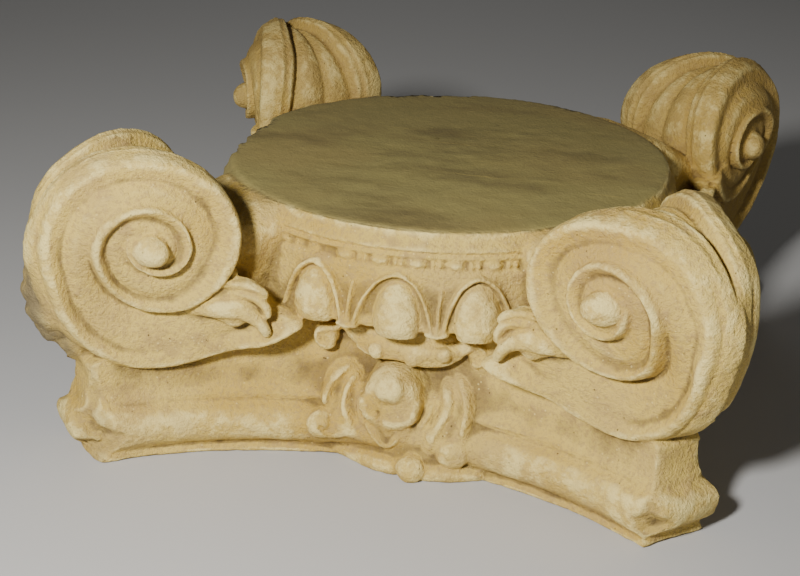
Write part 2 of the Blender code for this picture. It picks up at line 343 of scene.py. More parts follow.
# The leaf beside each scroll. Rows in mm: reach, height, stand, half width, half height
LEAF = (
    # web behind the fingers
    ((197, 100, -18, 5, 3.0), (187, 103, -6.5, 9, 4.6), (176, 104.5, -2.6, 15, 5.2),
     (168, 102.5, -1.2, 14, 5.2), (162.0, 99, -1.4, 11, 4.8)),
    ((189, 110, -14, 4, 2.6), (178, 113.0, -4, 7, 3.8), (169, 112.0, -0.6, 7.5, 4.0),
     (162.5, 106.5, -0.2, 6.5, 4.0)),
    ((170, 105.5, -2.0, 5, 3.5), (164.5, 102.0, -0.8, 5, 3.6), (158.5, 97.5, -1.2, 4.5, 3.4)),
    # upper finger
    ((188, 112.5, -10, 2.2, 2.4), (178, 116.6, 0, 2.6, 3.0), (170, 116.6, 3, 2.7, 3.2),
     (163.5, 113.4, 4, 2.6, 3.2), (160.0, 108.6, 3, 2.2, 2.6)),
    # middle finger
    ((184, 107, -8, 2.4, 2.6), (173, 111.4, 1.6, 2.7, 3.4), (165.5, 108.8, 3.6, 2.8, 3.6),
     (161.0, 102.6, 4.4, 2.7, 3.6), (160.2, 96.2, 3.8, 2.4, 3.2)),
    # lower pod and its drooping tip
    ((202, 96.5, -17, 2.6, 2.4), (193, 99.0, -6.5, 4.2, 3.6), (182, 102.0, 1.0, 6.2, 5.2),
     (173, 101.2, 2.4, 6.0, 5.4), (166, 96.2, 3.4, 4.4, 4.8), (161.8, 89.5, 4.2, 3.3, 4.2),
     (160.4, 84.2, 3.8, 2.8, 3.4)))


def build_leaf(clay, side, scroll):
    """The curled leaf beside a scroll, finger by finger."""
    for rows in LEAF:
        points = []
        for reach, height, stand, half_width, half_height in rows:
            level = LEAF_STAND + scroll.lean(reach / (1000 * R)) + stand / (1000 * R)
            points.append((reach / 1000, side * level * R, height / 1000 + scroll.traits.lift,
                           half_width / 1000, half_height / 1000))
        sweep(clay, points, (0.45, side * 1.0, 0.15))


# The neck's upper edge from the bell outwards, reach and height in units of R
NECK_TOP = ((0.80, 1.080), (0.98, 1.078), (1.06, 1.062), (1.15, 1.015), (1.26, 0.955), (1.42, 0.890))
NECK_FOOT = 0.60
NECK_CORNER = 0.110
# How far the neck's foot is drawn in on each side
NECK_TUCK = 0.06
# Half width of every neck where it meets the scroll
NECK_END = 0.235


def build_stem(clay, neck):
    """The neck between the bell and the scroll, with shallow upright folds."""
    rings = []
    turn = np.linspace(0.0, math.pi / 2, 7)
    for reach in np.linspace(0.80, 1.42, 60):
        fold = 0.005 * math.sin(reach * 58.0) * float(smooth_step(0.98, 1.06, reach))
        half = neck - (neck - NECK_END) * float(smooth_step(1.06, 1.46, reach)) + fold
        top = float(hermite(NECK_TOP, reach))
        right = [(half - NECK_CORNER + NECK_CORNER * math.cos(a),
                  top - NECK_CORNER + NECK_CORNER * math.sin(a)) for a in turn]
        left = [(-across, up) for across, up in reversed(right)]
        section = [(half - NECK_TUCK, NECK_FOOT)] + right + left + [(NECK_TUCK - half, NECK_FOOT)]
        rings.append([(reach * R, across * R, up * R) for across, up in section])
    clay.skin(rings)


def build_corner(traits):
    """One angle volute lying along the x axis, with both its faces, its leaves and its neck."""
    corner = Clay()
    away = traits._replace(size=traits.size - SMALLER_AWAY, pinch=PINCH_AWAY, drop=0.0, sag=0.0)
    for side in (-1, 1):
        scroll = Scroll(traits if side == traits.front_side else away)
        volute_half(corner, side, scroll)
        build_leaf(corner, side, scroll)
    build_stem(corner, traits.neck)
    return corner


def scroll_place(name, degrees, radius, across):
    """A place on a scroll, and the direction outwards from its centre there, in world axes."""
    traits = SCROLLS[name]
    out, up = -math.sin(math.radians(degrees)), math.cos(math.radians(degrees))
    turn = Matrix.Rotation(math.radians(traits.angle), 3, "Z")
    place = (VOLUTE_REACH + radius * out, traits.front_side * across, VOLUTE_HEIGHT + radius * up)
    return np.array(turn @ (Vector(place) * R)), np.array(turn @ Vector((out, 0.0, up)))


# Lumps of rough stone: degrees, radius, across and size
ROUGH_BACK = ((-112, 0.33, -0.10, 0.080), (-122, 0.355, -0.09, 0.095), (-131, 0.395, -0.11, 0.105),
              (-140, 0.440, -0.09, 0.115), (-149, 0.485, -0.12, 0.115), (-158, 0.53, -0.10, 0.110))


def build_rough_back(clay):
    """The rough stone left under the outer end of the front left scroll, on its far side."""
    for degrees, radius, across, size in ROUGH_BACK:
        place, _ = scroll_place("front_left", degrees, radius, across)
        blob(clay, place, (size * R, size * R, size * R))


# Bell and bed from the axis outwards and down, radius and height in thousandths of R
BELL_PROFILE = (
    (0, 1087), (980, 1087), (994, 1085), (1002, 1078), (1008, 1064), (1014, 1046), (1023, 1028),
    (1033, 1015), (1037, 1008), (1034, 1002), (1020, 999), (1018, 995), (1030, 991), (1039, 985),
    (1040, 978), (1032, 971), (1021, 967), (1019, 960), (1020, 936), (1030, 931), (1042, 925),
    (1047, 914), (1048, 880), (1052, 840), (1058, 790), (1066, 730), (1076, 700), (1080, 684),
    (1074, 672), (1050, 666), (960, 650), (900, 630), (870, 590), (860, 500), (860, 300), (0, 300))
BEADS_AROUND = 42
BEAD_START = -2.2
BEAD_REACH = 1.014
# Half length, depth and height of a long bead and of a small one, metres
LONG_BEAD = (0.0062, 0.0058, 0.0031)
SMALL_BEAD = (0.0018, 0.0050, 0.0027)


def build_bell(clay):
    rings = []
    for radius, height in reversed(BELL_PROFILE):
        radius = max(radius, 2)
        rings.append(circle(360) * (radius, radius, height) * (R / 1000))
    clay.skin(rings)


def on_bell(degrees, height_mm, radius):
    """A place on the bell, its angle counted from the middle of the front side."""
    turn = math.radians(degrees)
    return (radius * R * math.sin(turn), -radius * R * math.cos(turn), height_mm / 1000)


# The egg course: height in mm and radius in units of R
EGG_COURSE = ((88, 1.080), (95, 1.079), (103, 1.066), (112, 1.057), (120, 1.051), (130, 1.047))


def bell_radius(height_mm):
    """Radius of the egg course at a height."""
    return float(hermite(EGG_COURSE, height_mm))


def build_beads(clay):
    """Long beads with pairs of small ones between, worn away on the left of the front."""
    pitch = 360.0 / BEADS_AROUND
    for k in range(BEADS_AROUND):
        angle = BEAD_START + k * pitch
        seen = (angle + 180.0) % 360.0 - 180.0
        wear = 0.62 * float(smooth_step(-9, -17, seen) * smooth_step(-70, -60, seen))
        wear += 0.10 * math.sin(2.7 * k)
        turn = Matrix.Rotation(math.radians(angle), 4, "Z")
        out = BEAD_REACH - 0.030 * max(wear, 0.0)
        blob(clay, on_bell(angle, 133.0, out), LONG_BEAD, turn, 20, 14)
        for shift in (0.42, 0.60):
            turn = Matrix.Rotation(math.radians(angle + shift * pitch), 4, "Z")
            blob(clay, on_bell(angle + shift * pitch, 132.9, out), SMALL_BEAD, turn, 14, 12)


def bell_ridge(clay, rows, half_width, half_height):
    """A thin raised line on the egg course. Rows: degrees, height in mm, lift in units of R."""
    points = []
    for degrees, height_mm, lift in rows:
        points.append((*on_bell(degrees, height_mm, bell_radius(height_mm) + lift), half_width, half_height))
    path = through(points, 40)
    outward = path[:, :3] * np.array((1.0, 1.0, 0.0))
    outward /= np.linalg.norm(outward, axis=1, keepdims=True)
    sweep(clay, points, outward, 40, 10)


# Each egg on a side: its angle from the middle, the lift of its foot in mm, and the angle from
# there to its arch's left and right foot
EGGS = ((-17.6, 2.6, -7.0, 7.0), (2.4, 1.0, -8.8, 7.2), (20.3, 0.6, -7.0, 7.0))
DARTS = (-8.7, 11.4)
# An egg's top, height, half width and bulge, mm, and how far it is sunk in the course
EGG_TOP = 122.8
EGG_HEIGHT = 33.4
EGG_HALF_WIDTH = 13.6
EGG_BULGE = 10.6
EGG_SINK = 2.2
# One side of an arch from its foot up: share of its half width, height in mm, lift
ARCH = ((1.10, 92.5, 0.004), (1.0, 102, 0.009), (0.80, 113, 0.010), (0.48, 122.0, 0.008))


def build_egg(clay, middle, lift):
    turn = np.array(Matrix.Rotation(math.radians(middle), 3, "Z"))
    rings = []
    for step in np.linspace(0.0, 1.0, 26):
        height = EGG_TOP - (EGG_HEIGHT - lift) * step
        width = EGG_HALF_WIDTH * math.sqrt(max(0.004, 1 - (1 - min(1.0, step / 0.66)) ** 2.0))
        width *= 1 - 0.14 * float(smooth_step(0.72, 1.0, step))
        bulge = EGG_BULGE * math.sqrt(max(0.004, 1 - (1 - min(1.0, step / 0.58)) ** 2.1))
        bulge *= 1 - 0.30 * float(smooth_step(0.76, 1.0, step))
        out = bell_radius(height) * R * 1000 - EGG_SINK
        ring = circle(36) * (width, -bulge, height) - (0.0, out, 0.0)
        rings.append(ring / 1000 @ turn.T)
    clay.skin(rings)


def build_eggs(clay):
    """Three eggs with their arched rims, and the darts between them."""
    for middle, lift, left, right in EGGS:
        build_egg(clay, middle, lift)
        arch = [(middle + left * share, height, rise) for share, height, rise in ARCH]
        arch += [(middle, 126.6, 0.006)]
        arch += [(middle + right * share, height, rise) for share, height, rise in reversed(ARCH)]
        bell_ridge(clay, arch, 0.0015, 0.0030)
    for middle in DARTS:
        bell_ridge(clay, ((middle + 0.8, 120, -0.002), (middle + 0.3, 110, 0.004), (middle, 94, 0.008)),
                   0.0013, 0.0028)
        bell_ridge(clay, ((middle - 2.6, 94.0, 0.002), (middle, 93.0, 0.005), (middle + 2.6, 94.0, 0.002)),
                   0.0018, 0.0030)


# Abacus from the floor up, thousandths of R: height, mid-side reach, horn reach, horn half width
ABACUS_LEVELS = (
    (0, 966, 1770, 138), (8, 976, 1784, 146), (18, 976, 1786, 148), (28, 960, 1780, 144),
    (52, 960, 1784, 148), (66, 986, 1800, 158), (90, 1010, 1822, 170), (125, 1024, 1836, 176),
    (160, 1026, 1838, 178), (195, 1016, 1830, 172), (222, 998, 1816, 160), (240, 976, 1800, 144),
    (250, 962, 1790, 130), (260, 968, 1788, 126), (272, 974, 1786, 124), (284, 964, 1782, 118),
    (310, 940, 1776, 112), (350, 914, 1770, 107), (400, 896, 1766, 104), (432, 887, 1764, 104),
    (448, 884, 1735, 104), (480, 876, 1610, 108), (560, 862, 1470, 115), (620, 850, 1390, 120))
# How much further out each horn reaches than the plain profile, by quarter turn from front right
HORN_REACH = (-0.032, -0.032, 0.000, 0.022)


def abacus_outline(mid_reach, horn_reach, half_width, bulge, steps=72):
    """Four hollow sides joined by the blunt horn ends, in units of R."""
    quarters = []
    for quarter in range(4):
        ends = []
        for horn in (horn_reach + HORN_REACH[quarter - 1], horn_reach + HORN_REACH[quarter]):
            ends.append(((horn - half_width) / math.sqrt(2), (horn + half_width) / math.sqrt(2)))
        across = np.linspace(-ends[0][0], ends[1][0], steps + 1)
        corner = ends[0][1] + (ends[1][1] - ends[0][1]) * (across + ends[0][0]) / (ends[0][0] + ends[1][0])
        limit = np.where(across < 0, ends[0][0], ends[1][0])
        sag = corner - mid_reach
        radius = (limit ** 2 + sag ** 2) / (2 * sag)
        out = mid_reach + radius - np.sqrt(radius ** 2 - across ** 2)
        turn = quarter * math.pi / 2
        c, s = math.cos(turn), math.sin(turn)
        quarters.append(np.stack([across * c + out * s, across * s - out * c], axis=-1))
    outline = []
    for quarter in range(4):
        start, end = quarters[quarter][-1], quarters[(quarter + 1) % 4][0]
        share = np.linspace(0.0, 1.0, 14)[1:-1, None]
        away = (start + end) / np.linalg.norm(start + end)
        outline.append(quarters[quarter])
        outline.append(start + (end - start) * share + away * bulge * 4 * share * (1 - share))
    return np.concatenate(outline)


def build_abacus(clay):
    heights = np.concatenate([np.linspace(0.0, 0.45, 76), np.linspace(0.46, 0.62, 8)])
    rings = []
    for height in heights:
        mid_reach, horn_reach, half_width = hermite(ABACUS_LEVELS, 1000 * height) / 1000
        bulge = 0.022 * float(hill(height, 0.14, 0.09))
        outline = abacus_outline(mid_reach, horn_reach, half_width, bulge) * R
        rings.append(np.column_stack([outline, np.full(len(outline), height * R)]))
    clay.skin(rings)


# The upper side of a bar on the front, unless a call says otherwise
FRONT = (0.0, -1.0, 0.25)


def front_bar(clay, rows, outward=FRONT, sides=14, count=30):
    """A bar on the front side. Rows in mm: across, out from the axis, up, half width, half height."""
    points = [(x / 1000, -y / 1000, z / 1000, a / 1000, b / 1000) for x, y, z, a, b in rows]
    sweep(clay, points, outward, count, sides)


def front_blob(clay, x, y, z, radii):
    blob(clay, (x / 1000, -y / 1000, z / 1000), [radius / 1000 for radius in radii])


# The abacus's surface behind the fleuron, and the mound it is carved in: height and distance
# from the axis, mm
GROUND = ((0, 136), (5, 137), (12, 143), (21, 145), (30, 141), (38, 136), (45, 131), (56, 126),
          (70, 122), (80, 120))
MOUND = ((0, 140), (8, 143.5), (18, 147), (28, 145.5), (38, 142), (46, 138), (56, 132.5), (66, 127),
         (74, 123), (80, 121))
# How far the field lies below the abacus's surface outside the fleuron
SUNK = 3.0


class Relief:
    """A carved field on the front of the abacus, in mm: across, up, and its distance from the axis."""

    def __init__(self, left, right, low, high, cell):
        self.x, self.z = np.meshgrid(np.arange(left, right, cell), np.arange(low, high, cell), indexing="ij")
        self.ground = hermite(GROUND, self.z) + self.x ** 2 / 520
        self.mound = hermite(MOUND, self.z) + self.x ** 2 / 620
        self.out = self.ground - SUNK
        self.inside = np.zeros_like(self.x)

    def away(self, points):
        """Distance to a smooth line, divided by the line's own half width. Rows: across, up, half width."""
        path = through([(x, z, 0.0, width) for x, z, width in points], 44)
        least = np.full_like(self.x, 1e9)
        for x, z, _, width in path:
            least = np.minimum(least, ((self.x - x) ** 2 + (self.z - z) ** 2) / width ** 2)
        return np.sqrt(least)

    def oval(self, x, z, wide, tall, lean=0.0):
        c, s = math.cos(math.radians(lean)), math.sin(math.radians(lean))
        u = ((self.x - x) * c + (self.z - z) * s) / wide
        v = (-(self.x - x) * s + (self.z - z) * c) / tall
        return np.sqrt(u ** 2 + v ** 2)

    def cover(self, distance, soft):
        """Raise the mound inside an outline, where distance is under 1."""
        self.inside = np.maximum(self.inside, smooth_step(1.0, 1.0 - soft, distance))
        self.out = self.ground - SUNK + self.inside * (self.mound - self.ground + SUNK)

    def ridge(self, points, height, power=2.0):
        self.out = self.out + height * np.clip(1 - self.away(points) ** power, 0.0, 1.0) ** 0.5 * self.inside

    def groove(self, points, depth):
        self.out = self.out - depth * np.exp(-self.away(points) ** 2) * self.inside

    def dome(self, distance, base, height, power=2.0):
        raised = base + height * np.clip(1 - distance ** power, 0.0, 1.0) ** 0.5
        self.out = np.where(distance < 1.0, np.maximum(self.out, raised), self.out)

    def dent(self, distance, depth):
        self.out = self.out - depth * np.exp(-distance ** 2)

    def fill(self, clay):
        back = np.full((len(self.x), 1), 90.0)
        out = np.concatenate([self.out, back, back], axis=1)
        x = np.concatenate([self.x, self.x[:, :1], self.x[:, :1]], axis=1)
        z = np.concatenate([self.z, self.z[:, -1:], self.z[:, :1]], axis=1)
        clay.skin(np.stack([x, -out, z], axis=-1)[:, ::-1] / 1000)


# The fleuron's outline as ovals: across, up, half width, half height, lean in degrees, softness
OUTLINE = ((2, 33, 46, 27, 0, 0.40), (-27.5, 41, 17.5, 24, 14, 0.45), (-32, 25, 15.5, 11.5, 0, 0.30),
           (38, 39, 17, 26, -9, 0.45), (38, 20, 15, 13, 8, 0.30), (3.5, 44, 24, 25, 0, 0.30),
           (3.0, 28, 17, 14, 0, 0.35))
# Hollows between the ribs of its lobes: depth, then the line as across, up, half width
HOLLOWS = (
    (1.9, ((-18, 60, 2.4), (-26.5, 52, 3.0), (-31.3, 43, 3.4), (-32, 34.5, 3.4))),
    (1.8, ((-12.5, 58, 2.0), (-19, 50, 2.4), (-21.5, 42, 2.6), (-20.0, 32, 2.2))),
    (1.6, ((-9, 56, 2.0), (-13.5, 48, 2.2), (-14, 38, 2.4), (-10, 29, 2.2))),
    (1.9, ((30, 61, 2.4), (38.5, 54, 3.0), (42, 44, 3.4), (40.5, 34, 3.0), (40, 29, 2.6))),
    (1.8, ((21, 57, 2.0), (28.5, 51, 2.4), (30.5, 43.5, 2.6), (27.5, 34, 2.4))),
    (1.6, ((17, 54, 2.0), (22.5, 47, 2.4), (21.5, 38.5, 2.4), (18, 31, 2.4))),
    (1.4, ((-46, 33, 2.0), (-40, 34, 2.0), (-34, 32, 2.2))))
# The ribs of the lobes, written the same way
RIBS = (
    (2.9, ((-20, 63, 1.4), (-30, 55, 2.0), (-36.8, 46.4, 2.6), (-39.4, 38.4, 2.6))),
    (2.9, ((-14, 60.4, 1.4), (-22, 53.4, 1.9), (-25.8, 44.8, 2.4), (-25.6, 36.4, 2.8), (-21.5, 28.4, 2.6))),
    (2.2, ((-10.5, 56.2, 1.2), (-16.5, 46.4, 1.6), (-17.2, 36.3, 1.6), (-13.5, 28.8, 1.8))),
    (3.2, ((22.5, 61.6, 1.8), (31.2, 55.8, 2.6), (35.8, 46.4, 3.3), (33, 36.4, 3.8), (28, 27, 3.6))),
    (3.0, ((37.5, 60.8, 1.5), (44.7, 54.1, 2.2), (48.4, 44.3, 2.8), (48.3, 34.8, 3.0), (50.2, 28.0, 3.0))),
    (2.2, ((19.5, 54.6, 1.2), (26.5, 46.8, 1.6), (25.4, 38, 1.6), (21, 31.4, 1.8))))


def carve_lobes(field):
    """The ribbed lobes: hollows first, then the ribs that stand between them."""
    for *oval, soft in OUTLINE:
        field.cover(field.oval(*oval), soft)
    for depth, line in HOLLOWS:
        field.groove(line, depth)
    for height, line in RIBS:
        field.ridge(line, height)


def carve_buds(field):
    """The curled buds at the foot of each lobe."""
    field.dome(field.oval(-40.0, 23.4, 9.4, 9.6), 143.5, 9.0, 2.4)
    field.groove(((-34.0, 29.5, 1.3), (-33, 25, 1.5), (-35.5, 21.0, 1.3), (-38.0, 24, 1.2)), 3.4)
    field.dome(field.oval(-24, 23.5, 11, 7.0, -14), 143.0, 5.6, 2.4)
    field.dome(field.oval(41.5, 17.4, 10.0, 9.4), 146.5, 7.0, 2.4)
    field.dome(field.oval(31, 20.5, 9.0, 8.0), 145, 4.4, 2.4)
    field.groove(((30, 16, 1.2), (36, 18.5, 1.2), (42, 15.5, 1.2), (47, 19, 1.2)), 1.4)
    field.groove(((33, 10.5, 1.3), (40, 8.6, 1.3), (48, 10.5, 1.3)), 1.6)


def carve_heart(field):
    """The heart leaf under the buns."""
    field.dome(field.oval(2.0, 27.0, 14.5, 12.0), 145.6, 4.0, 2.2)
    field.ridge(((-11, 29.5, 1.8), (-5.8, 22.0, 1.9), (1.4, 15.6, 2.0), (8, 22.0, 1.7)), 2.6)
    field.groove(((-2.5, 27.0, 1.6), (2.0, 22.0, 2.2), (6.0, 27.0, 1.6)), 1.4)


def carve_buns(field):
    """The big bun with its thick lower lip, and the small one on it."""
    field.dome(field.oval(3.2, 46.5, 17.6, 18.0), 138.5, 12.0, 5.0)
    lip = ((-13.0, 45, 2.8), (-10.2, 37.6, 4.2), (-2, 33.6, 5.0), (8, 33.6, 5.2), (15.6, 37.6, 4.4),
           (18.8, 45, 2.8))
    field.dome(field.away(lip), 147.5, 4.4)
    field.groove(((-3.4, 39.5, 1.2), (-2.6, 36, 1.4), (-2.0, 32.5, 1.2)), 2.6)
    field.dome(field.oval(3.2, 54.8, 9.2, 9.2), 148.5, 6.8, 2.8)
    field.dent(field.oval(4.6, 60.6, 1.5, 3.6), 3.0)
    field.groove(((2.6, 50.4, 1.1), (2.2, 47.4, 1.3), (1.8, 44.6, 1.2)), 1.6)


# Swelling of the bottom moulding under the fleuron, bars as front_bar takes them
FOOT_BARS = (
    ((-34, 127, 10, 5, 5), (-14, 134, 10, 7, 7), (4, 139, 11, 8, 8), (24, 142, 11, 8, 8),
     (44, 138, 10, 7, 7), (60, 130, 9, 5, 5)),
    ((-36, 133, 3.5, 4, 4.5), (-20, 139, 3.5, 5, 5.5), (-5, 145, 3.5, 6, 6.5), (12, 148, 4, 7, 7)),
    ((-48, 122, 6, 6, 6), (-30, 128, 7, 8, 7), (0, 132, 8, 9, 8), (34, 132, 8, 8, 7),
     (62, 126, 6, 6, 6)),
    ((20, 148, 4, 7, 7), (34, 148, 4.5, 6, 6), (46, 145, 4, 5, 5.5), (60, 140, 3.5, 4, 4)))


def build_fleuron(clay):
    """The flower in the middle of an abacus side: two buns, a heart leaf, a ball and curled ribs."""
    field = Relief(-54, 62, 4, 74, 0.8)
    carve_lobes(field)
    carve_buds(field)
    carve_heart(field)
    carve_buns(field)
    field.fill(clay)
    front_blob(clay, 24, 138, 13, (26, 8, 9))
    # the ball at the foot
    front_blob(clay, 15.5, 142.5, 5.0, (13.5, 12, 9.0))
    front_blob(clay, 17.6, 152.5, 6.4, (8.8, 8.8, 8.2))
    for rows in FOOT_BARS:
        front_bar(clay, rows, (0, -1, 0.1))


def build_swag(clay):
    """The festoon below the eggs: a hanging leaf with three berries and a curl at each end."""
    front_blob(clay, 3, 127, 81.5, (36, 10, 8))
    front_bar(clay, ((-33, 122, 85, 3, 4.5), (-24, 128, 78.5, 4.6, 5), (-10, 132, 76.0, 5.6, 6),
                     (5, 133, 75.6, 6.0, 7), (22, 133, 74.8, 6.2, 7), (36, 130, 76, 5.2, 6),
                     (48, 126, 80, 3.4, 4.5)), (0, -1, -0.2), 16, 40)
    front_bar(clay, ((-22, 130, 73.6, 2.2, 3.4), (-12, 134, 70.8, 2.8, 3.6), (5, 135.5, 70.6, 2.8, 3.6),
                     (21, 135.5, 68.8, 3.2, 3.6), (32, 133.5, 69.8, 2.8, 3.6), (42, 129, 74.5, 2.2, 3.4)),
              (0, -1, -0.2), 12, 40)
    for x, z, size in ((-8.4, 73.2, 4.9), (13.8, 71.2, 5.4), (32.0, 75.8, 4.8)):
        front_blob(clay, x, 137.6, z, (size, size, size))
    front_blob(clay, -39.5, 129.5, 76.0, (6.0, 6.4, 6.4))
    front_bar(clay, ((-30, 124, 84.5, 2.6, 4), (-35, 130, 81.5, 2.6, 4.2), (-41, 132.5, 81, 2.3, 4.2),
                     (-45.8, 132, 77, 2.3, 4.2), (-45, 132, 71.5, 2.3, 4.2), (-39.5, 132.5, 69.6, 2.3, 4.2),
                     (-35.4, 132, 73, 2.0, 3.6)))
    front_blob(clay, 49, 124, 73.5, (6, 6, 5.6))
    front_bar(clay, ((42, 126, 79, 2.4, 3.6), (48.5, 127, 79.6, 2.2, 3.8), (53.6, 126.5, 76, 2.2, 3.8),
                     (54.2, 126.5, 71, 2.2, 3.8), (50.5, 128, 67.6, 2.2, 3.8), (46.2, 128.5, 69.6, 1.8, 3.4)))


def lattice(cells, seed):
    """A repeatable number from 0 to 1 for each whole-numbered cell."""
    cells = cells.astype(np.int64)
    mixed = cells[..., 0] * 374761393 + cells[..., 1] * 668265263 + cells[..., 2] * 2147483647 + seed * 974711
    mixed = (mixed ^ (mixed >> 13)) * 1274126177
    mixed = mixed ^ (mixed >> 16)
    return (mixed & 0xFFFFFF) / float(0xFFFFFF)


def cloud(points, size, seed):
    """Smooth random field, from -1 to 1, with features of the given size in metres."""
    scaled = points / size
    cell = np.floor(scaled)
    part = scaled - cell
    part = part * part * (3 - 2 * part)
    total = np.zeros(len(points))
    for corner in np.ndindex(2, 2, 2):
        near = np.abs(1 - np.array(corner) - part)
        total += near[:, 0] * near[:, 1] * near[:, 2] * lattice(cell + np.array(corner), seed)
    return total * 2 - 1


def layered(points, size, seed, octaves=3):
    """The same with finer layers added, each half the size and half the strength."""
    total = np.zeros(len(points))
    for k in range(octaves):
        total += cloud(points, size / 2 ** k, seed + 17 * k) * 0.5 ** k
    return total / 1.6


def new_object(name, mesh):
    obj = bpy.data.objects.new(name, mesh)
    bpy.context.scene.collection.objects.link(obj)
    return obj


def settle(obj):
    """Fix the object's modifiers into its mesh."""
    graph = bpy.context.evaluated_depsgraph_get()
    mesh = bpy.data.meshes.new_from_object(obj.evaluated_get(graph))
    obj.modifiers.clear()
    old = obj.data
    obj.data = mesh
    bpy.data.meshes.remove(old)


def read_vectors(mesh, name):
    """The vertices' places or normals, a row each."""
    values = np.empty(len(mesh.vertices) * 3, np.float32)
    mesh.vertices.foreach_get(name, values)
    return values.reshape(-1, 3).astype(float)


def read_edges(mesh):
    edges = np.empty(len(mesh.edges) * 2, np.int32)
    mesh.edges.foreach_get("vertices", edges)
    return edges.reshape(-1, 2)


def write_points(mesh, points):
    mesh.vertices.foreach_set("co", points.astype(np.float32).ravel())
    mesh.update()


def write_layer(mesh, name, values):
    layer = mesh.attributes.new(name, "FLOAT", "POINT")
    layer.data.foreach_set("value", values.astype(np.float32))


def relax(values, edges, times):
    """Move each value halfway to the average of its neighbours, several times."""
    count = len(values)
    degree = np.bincount(edges.ravel(), minlength=count).astype(float)
    columns = values.reshape(count, -1).copy()
    for _ in range(times):
        for k in range(columns.shape[1]):
            column = columns[:, k]
            total = (np.bincount(edges[:, 0], column[edges[:, 1]], count)
                     + np.bincount(edges[:, 1], column[edges[:, 0]], count))
            columns[:, k] = column + 0.5 * (total / degree - column)
    return columns.reshape(values.shape)


def fuse_clay():
    """All the bodies in one heap, fused into one skin."""
    clay = Clay()
    build_abacus(clay)
    build_bell(clay)
    build_beads(clay)
    build_rough_back(clay)
    side_clay = Clay()
    build_eggs(side_clay)
    build_fleuron(side_clay)
    build_swag(side_clay)
    for traits in SCROLLS.values():
        clay.add_clay(build_corner(traits), traits.angle)
    for k in range(4):
        clay.add_clay(side_clay, 90 * k)
    capital = new_object("carved_capital", clay.mesh("carved_capital"))
    remesh = capital.modifiers.new("fuse", "REMESH")
    remesh.mode = "VOXEL"
    remesh.voxel_size = VOXEL
    remesh.adaptivity = 0.0
    settle(capital)
    return capital


def knock_off(points, broken, place, direction, reach, depth, seed, fresh=1.0):
    """Break away what stands beyond a rough plane, within a ball round the place. Sizes in units of R."""
    direction = np.asarray(direction, float) / np.linalg.norm(direction)
    near = np.flatnonzero(np.linalg.norm(points - place, axis=1) < reach * R)
    offset = points[near] - place
    weight = smooth_step(reach * R, 0.72 * reach * R, np.linalg.norm(offset, axis=1))
    rough = 0.0030 * layered(points[near], 0.011, seed)
    beyond = np.maximum(offset @ direction + depth * R + rough, 0.0) * weight
    points[near] -= direction * beyond[:, None]
    broken[near] = np.maximum(broken[near], fresh * smooth_step(0.0, 0.0015, beyond))


# Broken corners of the horns: angle of the diagonal, place across and up, and size
HORN_CHIPS = ((315.5, -0.17, 0.30, 0.16), (315.5, 0.15, 0.42, 0.16), (315.5, -0.16, 0.02, 0.13),
              (224.5, 0.16, 0.28, 0.15), (224.5, -0.16, 0.36, 0.16), (224.5, 0.16, 0.04, 0.12),
              (45.0, 0.15, 0.40, 0.16), (135.0, -0.15, 0.40, 0.15), (135.0, 0.16, 0.05, 0.14))
# Breaks in the bed's edge: bearing in degrees, and depth
BED_CHIPS = ((183, 0.035), (172, 0.028), (191, 0.024), (104, 0.026), (117, 0.022), (66, 0.014))


def break_edges(points, broken):
    """The chips and breaks the capital has lost over the years."""
    place, outward = scroll_place("front_right", -103, 0.418, 0.03)
    knock_off(points, broken, place, outward, 0.14, 0.0, 5)
    for angle, across, height, size in HORN_CHIPS:
        turn = np.array(Matrix.Rotation(math.radians(angle), 3, "Z"))
        place = turn @ np.array((1.76, across, height)) * R
        outward = turn @ np.array((1.0, 0.7 * np.sign(across), 0.15))
        knock_off(points, broken, place, outward, 1.3 * size, 0.003, int(angle), 0.30)
    for degrees, depth in BED_CHIPS:
        outward = np.array((math.cos(math.radians(degrees)), math.sin(math.radians(degrees)), 0.35))
        place = outward * np.array((0.998, 0.998, 0.0)) * R + np.array((0.0, 0.0, 1.06 * R))
        knock_off(points, broken, place, outward, 0.14, depth, degrees)


def mark_rough_back(points, broken):
    """Count the rough back of the front left scroll as broken stone."""
    middle, _ = scroll_place("front_left", -135, 0.46, -0.14)
    distance = np.linalg.norm(points - middle, axis=1)
    diagonal = math.radians(SCROLLS["front_left"].angle)
    side = np.array(Matrix.Rotation(diagonal, 3, "Z")) @ np.array((0.0, 1.0, 0.0))
    behind = smooth_step(0.03 * R, -0.03 * R, points @ side)
    return np.maximum(broken, smooth_step(0.34 * R, 0.24 * R, distance) * behind)


def roughness(points, broken):
    """How far each place stands out or in, metres: a worn skin, rougher on the horns and breaks."""
    wobble = 0.00060 * layered(points, 0.030, 3) + 0.00036 * layered(points, 0.007, 11)
    wobble += 0.00016 * cloud(points, 0.0027, 41)
    horn_end = smooth_step(1.62 * R, 1.78 * R, np.hypot(points[:, 0], points[:, 1]))
    horn_end = horn_end * smooth_step(0.50 * R, 0.40 * R, points[:, 2])
    wobble += horn_end * 0.0014 * layered(points, 0.017, 31)
    wobble += broken * (0.0030 * layered(points, 0.016, 21) + 0.0006 * layered(points, 0.005, 23))
    return wobble


def weather(capital):
    """Soften the carving, pit it and break its edges. The layer broken says where stone is lost."""
    mesh = capital.data
    edges = read_edges(mesh)
    points = relax(read_vectors(mesh, "co"), edges, 2)
    broken = np.zeros(len(points))
    break_edges(points, broken)
    broken = mark_rough_back(points, broken)
    write_points(mesh, points)
    points = points + read_vectors(mesh, "normal") * roughness(points, broken)[:, None]
    points[:, 2] = np.maximum(points[:, 2], 0.0)
    write_points(mesh, points)
    write_layer(mesh, "broken", relax(broken, edges, 2))


